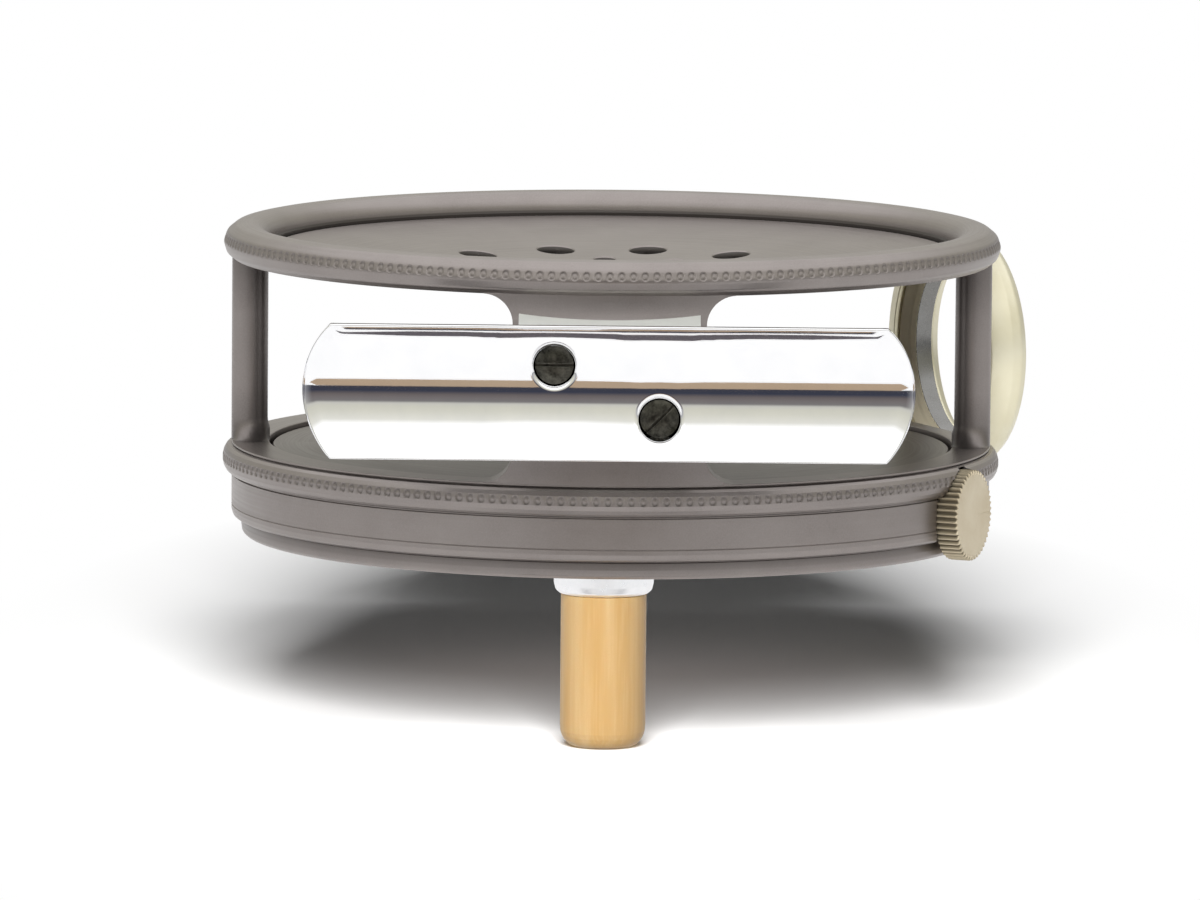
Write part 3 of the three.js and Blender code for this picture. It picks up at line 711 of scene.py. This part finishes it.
def foot():
    """The polished plate: its hollow face, rounded edge, wall, underside and screw holes."""
    inset = 0.28
    outline = foot_outline(inset)
    loops = [outline] + [circle(sx, sz, HOLE_R, RIM_POINTS) for sx, sz, _ in SCREWS]
    half_step = math.pi / RIM_POINTS
    rings = [p for sx, sz, _ in SCREWS for k in (0.06, 0.12, 0.2, 0.3, 0.42, 0.55, 0.8)
             for p in circle(sx, sz, HOLE_R + k, RIM_POINTS, half_step * (int(k * 100) % 2))]
    steps = np.concatenate([np.arange(-32, -28, 0.25), np.arange(-28, 28, 0.62),
                            np.arange(28, 32.1, 0.25)])
    fill = [(x, z) for x in steps for z in np.arange(-6.6, 6.61, 0.33)
            if all(math.hypot(x - sx, z - sz) > HOLE_R + 1.0 for sx, sz, _ in SCREWS)
            and inside_outline(x, z, inset + 0.12)]
    flat, tris = planar(loops, rings, fill)
    verts = [(x, seat_depth(x, z), z + Z_MID) for x, z in flat]
    normals = [face_normal(x, z) for x, z in flat]
    faces = [tuple(t) for t in tris]

    def ring(points, ys, ns):
        start = len(verts)
        for (x, z), y, n in zip(points, ys, ns):
            verts.append((x, y, z + Z_MID))
            normals.append(n)
        return start

    def strip(a, b, n):
        faces.extend((a + k, a + (k + 1) % n, b + (k + 1) % n, b + k) for k in range(n))

    # rounded edge, side wall and underside
    count = len(outline)
    base = np.array(foot_outline(0.0))
    nxt, prv = np.roll(base, -1, 0), np.roll(base, 1, 0)
    side = np.stack([(nxt - prv)[:, 1], -(nxt - prv)[:, 0]], -1)
    side /= np.linalg.norm(side, axis=1, keepdims=True)
    previous = ring(outline, [seat_depth(x, z) for x, z in outline],
                    [face_normal(x, z) for x, z in outline])
    for k in range(1, 6):
        a = math.pi / 2 * k / 5
        pts = np.array(outline) + side * inset * math.sin(a)
        ys = [seat_depth(x, z) + inset * (1 - math.cos(a)) for x, z in outline]
        ns = []
        for (x, z), s in zip(outline, side):
            f = face_normal(x, z)
            ns.append(f * math.cos(a) + np.array([s[0], 0, s[1]]) * math.sin(a))
        current = ring(pts, ys, ns)
        strip(current, previous, count)
        previous = current
    wall_n = [np.array([s[0], 0, s[1]]) for s in side]
    last = ring(base, [min(foot_back(x) - 0.55, seat_depth(x, z * 0.98) + 1.25) for x, z in base],
                wall_n)
    strip(last, previous, count)
    under = []
    for shrink, rise in ((0.08, 0.08), (0.55, 0.45), (2.3, 2.6)):
        pts = base - side * shrink
        ys = [min(foot_back(x), seat_depth(bx, bz * 0.98) + 1.25 + rise)
              for (x, _), (bx, bz) in zip(pts, base)]
        ns = [np.array([s[0], 0.9, s[1]]) for s in side]
        under.append(ring(pts, ys, ns))
    strip(under[0], last, count)
    strip(under[1], under[0], count)
    strip(under[2], under[1], count)
    faces.append(tuple(under[2] + k for k in range(count)))
    # walls and floors of the screw holes
    for sx, sz, _ in SCREWS:
        rim = circle(sx, sz, HOLE_R, RIM_POINTS)
        inward = [np.array([sx - x, 0, sz - z]) / HOLE_R for x, z in rim]
        floor = [HOLE_FLOOR] * RIM_POINTS
        top = ring(rim, [seat_depth(x, z) for x, z in rim], inward)
        low = ring(rim, floor, inward)
        strip(top, low, RIM_POINTS)
        bottom = ring(rim, floor, [np.array([0, -1.0, 0])] * RIM_POINTS)
        faces.append(tuple(bottom + k for k in range(RIM_POINTS))[::-1])
    make("rod_foot", verts, faces, ALLOY, "frame_body", ("foot",), np.array(normals))


foot()

pedestal_side = [(-44.4, 14.63), (-39.75, 12.56), (-39.75, 28.9), (-44.4, 26.82)]
make("foot_pedestal", *prism(pedestal_side, NECK_HALF), SATIN, "frame_body", ("foot",), sharp=20)


def foot_screw(name, sx, sz, turn, node):
    """A worn slotted head sunk in its hole: two rounded halves with the slot between them."""
    verts, faces, rows, cols = [], [], 10, 48
    head, seat, top = 2.05, -44.85, -46.25
    for sign in (1, -1):
        start = len(verts)
        for i in range(rows + 1):
            k = i / rows
            r = head * k
            for j in range(cols + 1):
                a = math.pi * j / cols
                x = r * math.cos(a)
                z = max(r * math.sin(a), SLOT)
                y = top + 0.30 * k ** 2.5 + (0.05 if z <= SLOT + 0.02 else 0.0)
                verts.append((x, y, sign * z))
        for i in range(rows):
            for j in range(cols):
                a = start + i * (cols + 1) + j
                f = (a, a + 1, a + cols + 2, a + cols + 1)
                faces.append(f[::-1] if sign > 0 else f)
        edge_row = [start + rows * (cols + 1) + j for j in range(cols + 1)]
        first = [start + i * (cols + 1) for i in range(rows, -1, -1)]
        last = [start + i * (cols + 1) + cols for i in range(rows + 1)]
        loop = edge_row + last[::-1][1:] + first[::-1][1:-1]
        low = len(verts)
        for v in loop:
            x, _, z = verts[v]
            verts.append((x, seat, z))
        n = len(loop)
        for k in range(n):
            f = (loop[k], loop[(k + 1) % n], low + (k + 1) % n, low + k)
            faces.append(f if sign > 0 else f[::-1])
    # the slot's floor
    start = len(verts)
    verts += [(x, top + 0.42, z) for x, z in circle(0, 0, head * 0.985, cols)]
    faces.append(tuple(range(start, start + cols)))
    a = math.radians(turn)
    c, s = math.cos(a), math.sin(a)
    m = np.array([[c, 0, -s, sx], [0, 1, 0, 0], [s, 0, c, sz + Z_MID], [0, 0, 0, 1.0]])
    make(name, verts, faces, DARK, "frame_body", (node,), matrix=m, sharp=40)


for index, (sx, sz, turn) in enumerate(SCREWS):
    foot_screw(f"screw_head_{index + 1}", sx, sz, turn, f"foot_screw_{index + 1}")


# ---- line guard, knob, handle ---------------------------------------------------------------
G = radial_matrix(GUARD_ANGLE, GUARD_Z)
turned("guard_ring", [(11.9, 39.85, 0.1), (13.5, 39.85, 0.35), (13.5, 42.65, 0.9),
                      (13.2, 43.85, 1.2), (12.5, 44.7, 1.0), (11.6, 45.1, 0.8),
                      (10.9, 44.85, 0.5), (10.4, 44.25, 0.4), (10.1, 43.9, 0.15),
                      (10.1, 43.6, 0.05), (11.9, 43.6, 0.1)],
       180, GUARD, "frame_body", ("line_guard_outer",), G, steps=6)
turned("guard_flare", [(10.08, 41.75, 0.3), (10.45, 41.3, 0.3), (10.75, 41.12, 0.1),
                       (11.75, 40.2, 0.2), (11.75, 41.9, 0.1), (10.08, 41.9, 0.02)],
       180, FLARE, "frame_body", ("line_guard_inner",), G, steps=6)
turned("guard_throat", [(10.05, 41.8, 0.05), (11.75, 41.8, 0.05), (11.75, 43.58, 0.05),
                        (10.05, 43.7, 0.08)],
       180, THROAT, "frame_body", ("line_guard_inner",), G, steps=6)


def shape_knob(P, N):
    """Straight knurling: vee grooves along the rim that run out sharply at both faces."""
    r = np.hypot(P[..., 0], P[..., 1])
    a = np.arctan2(P[..., 1], P[..., 0]) * KNURLS / (2 * math.pi)
    vee = np.abs((a % 1.0) * 2 - 1)
    scale = 1 - 0.48 * vee / KNOB_R * (r > 4.6)
    return P * np.stack([scale, scale, np.ones_like(scale)], -1)


def groove_shade(points):
    """Painted shade in the grooves of the knurling."""
    m = np.linalg.inv(KNOB_PLACE)
    local = points @ m[:3, :3].T + m[:3, 3]
    r = np.hypot(local[:, 0], local[:, 1])
    on_rim = (r > 4.3) & (local[:, 2] > 41.3) & (local[:, 2] < 43.72)
    return np.where(on_rim, np.clip((KNOB_R - 0.02 - r) / 0.3, 0, 1), 0.0) * 0.8


KNOB_PLACE = radial_matrix(KNOB_ANGLE, KNOB_Z)
# painted shade in the knurl grooves
paint_shade(turned("knurled_knob", [(0.02, 41.25, 0.0), (4.75, 41.25, 0.05), (KNOB_R, 41.4, 0.05),
                              (KNOB_R, 43.62, 0.05), (4.8, 43.77, 0.04), (4.4, 43.77, 0.0),
                              (0.02, 43.77, 0.0)],
             KNURLS * 8, KNOB, "regulator_body", ("regulator_knob",), KNOB_PLACE, steps=3,
             shape=shape_knob),
      groove_shade)

H = shifted(*HANDLE)
GRIP_END = [(3.0 + 1.6 * math.cos(t), -16.6 - 2.2 * math.sin(t), 0.4)
            for t in np.radians((75, 60, 45, 30, 15))]
turned("grip", [(1.6, -2.3, 0.05), (1.6, -17.4, 0.1), (2.5, -17.4, 0.1), (2.5, -18.75, 0.12),
                (2.9, -18.8, 0.3), *GRIP_END, (4.6, -16.4, 1.0), (4.6, -2.3, 0.1)],
       128, IVORINE, "grip_body", ("handle_grip",), H, steps=4)
turned("ferrule", [(1.5, -2.25, 0.1), (4.75, -2.25, 0.3), (5.18, -1.9, 0.5), (5.36, -1.2, 0.5),
                   (5.45, -0.04, 0.08), (1.5, -0.04, 0.1)],
       112, BRIGHT, "drum_body", ("handle_ferrule",), H, steps=5)
turned("grip_pin", [(0.02, -18.5, 0.0), (1.5, -18.5, 0.4), (2.1, -18.1, 0.3), (2.1, -17.7, 0.1),
                    (1.2, -17.7, 0.1), (1.2, 1.6, 0.1), (0.02, 1.6, 0.0)],
       64, STEEL, "drum_body", ("handle_pin",), H, steps=4)


# ---- drum and handle plate ------------------------------------------------------------------
# painted shade on the plate's rim, darker towards its top under the band's overhang
paint_shade(turned("crank_plate", [(3.3, 0.0, 0.15), (40.25, 0.0, 0.4), (40.62, 0.35, 0.4),
                             (40.7, 1.0, 0.3), (40.7, 1.8, 0.06), (3.3, 1.8, 0.1)],
             256, GUNMETAL, "drum_body", ("handle_plate",), steps=6, gap=0.2,
             keep=lambda m: m[0] > 40.5),
      lambda p: 0.5 * np.clip((p[:, 2] - 0.1) / 1.6, 0, 1) * (np.hypot(p[:, 0], p[:, 1]) > 40.0))
# painted shade over the whole flange but its outer edge
paint_shade(turned("lower_flange", [(3.3, 2.1, 0.1), (5.0, 2.1, 0.2), (5.0, 8.4, 0.1),
                              (DISC_R, 8.4, 0.1), (DISC_R, 9.8, 0.22), (3.3, 9.8, 0.1)],
             256, GUNMETAL, "drum_body", ("drum_lower_flange",), steps=4),
      lambda p: 0.4 * np.clip((DISC_R - np.hypot(p[:, 0], p[:, 1])) / 0.2, 0, 1))
turned("arbor", [(7.0, 10.1, 0.1), (9.9, 10.1, 0.3), (9.9, 26.9, 0.3), (7.0, 26.9, 0.1)],
       128, GUNMETAL, "drum_body", ("drum_arbor",), steps=4)


def dish(r):
    """Height of the dished flange's outer face at a radius."""
    return Z_DISH + max(r - DISH_R, 0) * DISH_SLOPE


def upper_flange():
    """The drum's dished disc with its round holes, each chamfered on both sides."""
    holes = [(20, 2.1, 11.2 + 30 * k) for k in range(12)]
    holes += [(15.1, 1.2, -3.5 + 30 * k) for k in range(12)]
    holes += [(8.5, 1.05, 30 + 120 * k) for k in range(3)]
    centres = [(d * math.sin(math.radians(t)), d * math.cos(math.radians(t)), r)
               for d, r, t in holes]
    chamfer, n_out, n_in, n_bore = 0.12, 240, 40, 48
    loops = [circle(0, 0, DISC_R - 0.2, n_out)]
    loops += [circle(x, y, r + chamfer, n_in) for x, y, r in centres]
    loops.append(circle(0, 0, DISC_BORE, n_bore))
    rings = [p for r in (7, 9, 11, 13.3, 13.5, 13.7, 17.3, 23, 26, 29, 32, 34.5, 36, 36.8)
             for p in circle(0, 0, r, max(24, int(r * 6)))
             if all(math.hypot(p[0] - x, p[1] - y) > q + 0.5 for x, y, q in centres)]
    flat, tris = planar(loops, rings, [])
    verts, normals, faces = [], [], []

    def up(x, y):
        r = math.hypot(x, y)
        k = min(1.0, max(0.0, (r - DISH_R + 0.2) / 0.4)) * DISH_SLOPE
        return np.array([-x / r * k, -y / r * k, 1.0])

    for sign, drop in ((1, 0.0), (-1, DISC_WALL)):
        start = len(verts)
        for x, y in flat:
            verts.append((x, y, dish(math.hypot(x, y)) - drop))
            normals.append(up(x, y) * sign)
        faces += [tuple(start + i for i in (t if sign > 0 else t[::-1])) for t in tris]

    def wall(stations, n, outward):
        """stations: loops of (points, drop from the face, normal function)."""
        previous = None
        for pts, drop, fn in stations:
            start = len(verts)
            for x, y in pts:
                verts.append((x, y, dish(math.hypot(x, y)) - drop))
                normals.append(fn(x, y))
            if previous is not None:
                for k in range(n):
                    f = (previous + k, start + k, start + (k + 1) % n, previous + (k + 1) % n)
                    faces.append(f if outward else f[::-1])
            previous = start

    def away(cx, cy, lift, sign):
        """Normals that point away from a centre, or towards it, and lean up by lift."""
        def fn(x, y):
            d = np.array([x - cx, y - cy, 0.0])
            d /= np.linalg.norm(d)
            return d * sign + np.array([0, 0, lift])
        return fn

    wall([(circle(0, 0, DISC_R - inset, n_out), drop, away(0, 0, lift, 1))
          for inset, drop, lift in ((0.2, 0.0, 3), (0.06, 0.06, 1), (0, 0.2, 0.1),
                                    (0, DISC_WALL - 0.1, 0), (0.2, DISC_WALL, -1))], n_out, True)
    for x, y, r in centres + [(0, 0, DISC_BORE - chamfer)]:
        n = n_bore if (x, y) == (0, 0) else n_in
        wall([(circle(x, y, r + wider, n), drop, away(x, y, lift, -1))
              for wider, drop, lift in ((chamfer, 0.0, 2), (0, chamfer, 0.6),
                                        (0, DISC_WALL - chamfer, -0.6),
                                        (chamfer, DISC_WALL, -2))], n, False)
    disc = make("upper_flange", verts, faces, GUNMETAL, "drum_body", ("drum_upper_flange",),
                np.array(normals))
    # the hole walls take the darker copy: painted shade
    disc.data.materials.append(SHADED_HOLE_WALL)
    for poly in disc.data.polygons:
        x, y = np.array(poly.center[:2]) * 1000 - SHIFT[:2]
        near = min(abs(math.hypot(x - cx, y - cy) - r) for cx, cy, r in centres)
        if near < 0.04 and abs(poly.normal.z) < 0.5:
            poly.material_index = 1


upper_flange()
turned("nut_recess", [(3.3, 25.2, 0.1), (6.6, 25.2, 0.2), (6.6, 27.39, 0.05), (5.6, 27.39, 0.05),
                      (5.6, 26.7, 0.05), (3.3, 26.7, 0.05)],
       64, GUNMETAL, "drum_body", ("drum_upper_flange",))

# ---- carried-over CAD nodes -----------------------------------------------------------------
CARRIED = (
    (NICKEL, ["ball_cage", "regulator_block", "regulator_rail_1", "regulator_rail_2",
              "regulator_bush", "spindle_nut", "lock_strap"]),
    (STEEL, ["bearing_outer_race", "bearing_inner_race", "pawl_post", "pawl", "leaf_clamp",
             "leaf_spring", "regulator_stem", "drum_rivet_1", "drum_rivet_2", "drum_rivet_3",
             "spindle", "ratchet_wheel", "lock_screw", "strap_screw",
             *[f"ball_{k + 1}" for k in range(10)]]))
for material, names in CARRIED:
    for name in names:
        for slot in frame["nodes"][name].material_slots:
            slot.material = material

# ---- stage, light and camera ----------------------------------------------------------------
scene = bpy.context.scene
Y0 = SHIFT[1] / 1000
FLOOR_Z = (-18.8 + SHIFT[2]) / 1000       # the handle's lower end stands on the floor
PAPER_END, TABLE_END = Y0 - 0.166, Y0 - 0.262    # what the polished foot mirrors ahead of the reel


def stage_panel(name, corners, material=None):
    """A flat panel in the row frame, in metres, that isn't a piece of the reel."""
    mesh = bpy.data.meshes.new(name)
    mesh.from_pydata(corners, [], [tuple(range(len(corners)))])
    if material:
        mesh.materials.append(material)
    obj = bpy.data.objects.new(name, mesh)
    scene.collection.objects.link(obj)
    return obj


def level_panel(name, half, y0, y1, z, material, taper=0.0):
    """A level panel, half wide each way; taper pulls its corners in, to a long hexagon."""
    ym, x = (y0 + y1) / 2, half - taper
    return stage_panel(name, [(-x, y0, z), (x, y0, z), (half, ym, z), (x, y1, z), (-x, y1, z),
                              (-half, ym, z)], material)


def matt(name, colour):
    n = Surface(name)
    n.bsdf.inputs["Base Color"].default_value = (*colour, 1)
    n.bsdf.inputs["Roughness"].default_value = 0.9
    n.bsdf.inputs["Specular IOR Level"].default_value = 0.0
    return n


def glowing(name, colour, glow):
    n = matt(name, colour)
    n.bsdf.inputs["Emission Color"].default_value = (*colour, 1)
    n.bsdf.inputs["Emission Strength"].default_value = glow
    return n.mat


def paper():
    """White paper that takes the reel's shadow and burns out to plain white further away."""
    n = matt("paper_white", (0.93, 0.93, 0.925))
    reach = n.add("ShaderNodeVectorMath", operation="LENGTH")
    n.link(n.scaled(n.coords(), (2.6, 1.0, 1.0)), reach.inputs[0])
    burnt = n.blend(n.span(reach.outputs["Value"], 0, 1, 125, 205), n.bsdf.outputs[0],
                    n.add("ShaderNodeEmission").outputs[0])
    n.link(burnt, n.tree.nodes["Material Output"].inputs["Surface"])
    return n.mat


FLOOR = level_panel("floor", 3, -3, 3, FLOOR_Z - 0.0001, paper())
FLOOR.visible_glossy = FLOOR.visible_diffuse = False
# a flag behind the foot keeps stray light off the floor in its shadow
FLAG = stage_panel("flag", [(x, Y0 + 0.047, z) for x, z in
                            ((-0.036, 0), (0.036, 0), (0.036, 0.09), (-0.036, 0.09))])
FLAG.visible_camera = FLAG.visible_glossy = FLAG.visible_diffuse = False

# glowing panels that only the metal sees, for the polished foot to mirror: pale floor, the brown
# edge of a table and a grey painted strip of the reel's shadow on the floor
for panel in (
        level_panel("floor_seen_in_metal", 3, TABLE_END, 3, FLOOR_Z - 0.0004,
                    glowing("paper_glow", (0.95, 0.95, 0.95), 0.93)),
        level_panel("table_edge", 0.075, TABLE_END, PAPER_END, FLOOR_Z - 0.0003,
                    glowing("table_brown", (0.40, 0.30, 0.21), 0.95), taper=0.04),
        level_panel("floor_shadow_strip", 0.034, Y0 - 0.0575, Y0 - 0.0515, FLOOR_Z - 0.0002,
                    glowing("painted_shadow_grey", (0.11, 0.10, 0.11), 0.9), taper=0.012)):
    panel.visible_camera = panel.visible_diffuse = panel.visible_shadow = False


def world():
    """White to the camera; metal sees a dark room behind the camera and a white top."""
    scene.world = bpy.data.worlds.new("studio")
    n = Nodes(scene.world)
    n.tree.nodes.clear()
    sep = n.add("ShaderNodeSeparateXYZ")
    n.link(n.add("ShaderNodeNewGeometry").outputs["Incoming"], sep.inputs[0])
    x, y, z = sep.outputs
    # Incoming points back at the viewer, so its rise is the negative of the ray's elevation
    height = n.span(n.math("ARCSINE", z), 0, 1, math.pi / 2, -math.pi / 2)
    ahead = n.span(n.math("DIVIDE", y, n.length(x, y)), 0, 1, math.cos(math.radians(26)),
                   math.cos(math.radians(10)))

    def ramp(stops):
        """Colours by the ray's elevation in degrees."""
        made = n.add("ShaderNodeValToRGB")
        n.link(height, made.inputs[0])
        for elevation, colour in stops:
            made.color_ramp.elements.new((elevation + 90) / 180).color = (*colour, 1)
        els = made.color_ramp.elements
        els.remove(els[0])
        els.remove(els[len(els) - 1])
        return made.outputs[0]

    top = [(10, (0.62, 0.61, 0.56)), (14, (0.67, 0.66, 0.57)), (20, (0.72, 0.71, 0.62)),
           (30, (0.84, 0.83, 0.76)), (38, (1.4, 1.4, 1.4)), (89, (1.55, 1.55, 1.55))]
    room = ramp([(-89, (0.6, 0.6, 0.6)), (-12, (0.055, 0.055, 0.07)), (-5, (0.045, 0.05, 0.075)),
                 (-1, (0.15, 0.13, 0.13)), (3, (0.19, 0.17, 0.17)), (7.5, (0.21, 0.20, 0.20)), *top])
    around = ramp([(-89, (0.6, 0.6, 0.6)), (-12, (0.42, 0.42, 0.43)), (-4, (0.40, 0.40, 0.42)),
                   (4, (0.50, 0.50, 0.50)), *top])
    metal, fill = n.add("ShaderNodeBackground"), n.add("ShaderNodeBackground")
    white = n.add("ShaderNodeBackground", Color=(1, 1, 1, 1))
    n.link(n.mix(ahead, around, room), metal.inputs["Color"])
    n.link(n.span(height, 0.55, 0.07, 0.40, 0.56), fill.inputs["Strength"])
    path = n.add("ShaderNodeLightPath")
    unseen = n.blend(path.outputs["Is Glossy Ray"], fill.outputs[0], metal.outputs[0])
    n.link(n.blend(path.outputs["Is Camera Ray"], unseen, white.outputs[0]),
           n.add("ShaderNodeOutputWorld").inputs[0])


world()


def area(name, azimuth, elevation, distance, width, height, power, on_floor=False):
    """A softbox; azimuth is measured from the camera's side towards +X. Each lamp lights
    either the floor, with the reel's shadow on it, or everything but the floor."""
    data = bpy.data.lights.new(name, "AREA")
    data.shape, data.size, data.size_y, data.energy = "RECTANGLE", width, height, power
    obj = bpy.data.objects.new(name, data)
    a, e = math.radians(azimuth), math.radians(elevation)
    aim = Vector((0, Y0, 0))
    away = Vector((math.sin(a) * math.cos(e), -math.cos(a) * math.cos(e), math.sin(e)))
    obj.location = aim + away * distance
    obj.rotation_euler = (-away).to_track_quat("-Z", "Y").to_euler()
    scene.collection.objects.link(obj)
    obj.visible_camera = obj.visible_glossy = False
    lit = bpy.data.collections.new(name + "_floor")
    lit.objects.link(FLOOR)
    obj.light_linking.receiver_collection = lit
    lit.collection_objects[0].light_linking.link_state = "INCLUDE" if on_floor else "EXCLUDE"


area("floor_softbox", -1, 32, 1.3, 0.50, 0.75, 38.0, on_floor=True)
area("front_softbox", -7, 24, 1.3, 0.45, 0.45, 16.0)
area("top_softbox", -20, 75, 1.0, 0.8, 0.8, 3.0)


def photo_camera():
    """The photo's view: from the foot's side, a little above, with a long lens far away."""
    rise, yaw, roll = math.radians(6.68), math.radians(0.35), math.radians(-0.510)
    target, distance = Vector((-1.17, 0.0, 9.20)), 1200.0
    data = bpy.data.cameras.new("camera")
    data.sensor_width, data.lens = 36.0, 326.13
    data.clip_start, data.clip_end = 0.01, 50
    obj = bpy.data.objects.new("camera", data)
    scene.collection.objects.link(obj)
    back = Vector((0, -math.cos(rise), math.sin(rise)))
    right, up = Vector((1, 0, 0)), Vector((0, math.sin(rise), math.cos(rise)))
    c, s = math.cos(roll), math.sin(roll)
    place = (target + back * distance) / 1000
    axes = zip(right * c - up * s, right * s + up * c, back, place)
    obj.matrix_world = Matrix.Translation(Vector(SHIFT) / 1000) @ \
        Matrix.Rotation(yaw, 4, "Z") @ Matrix((*axes, (0, 0, 0, 1)))
    return obj


scene.camera = photo_camera()
scene.view_settings.view_transform = "Standard"
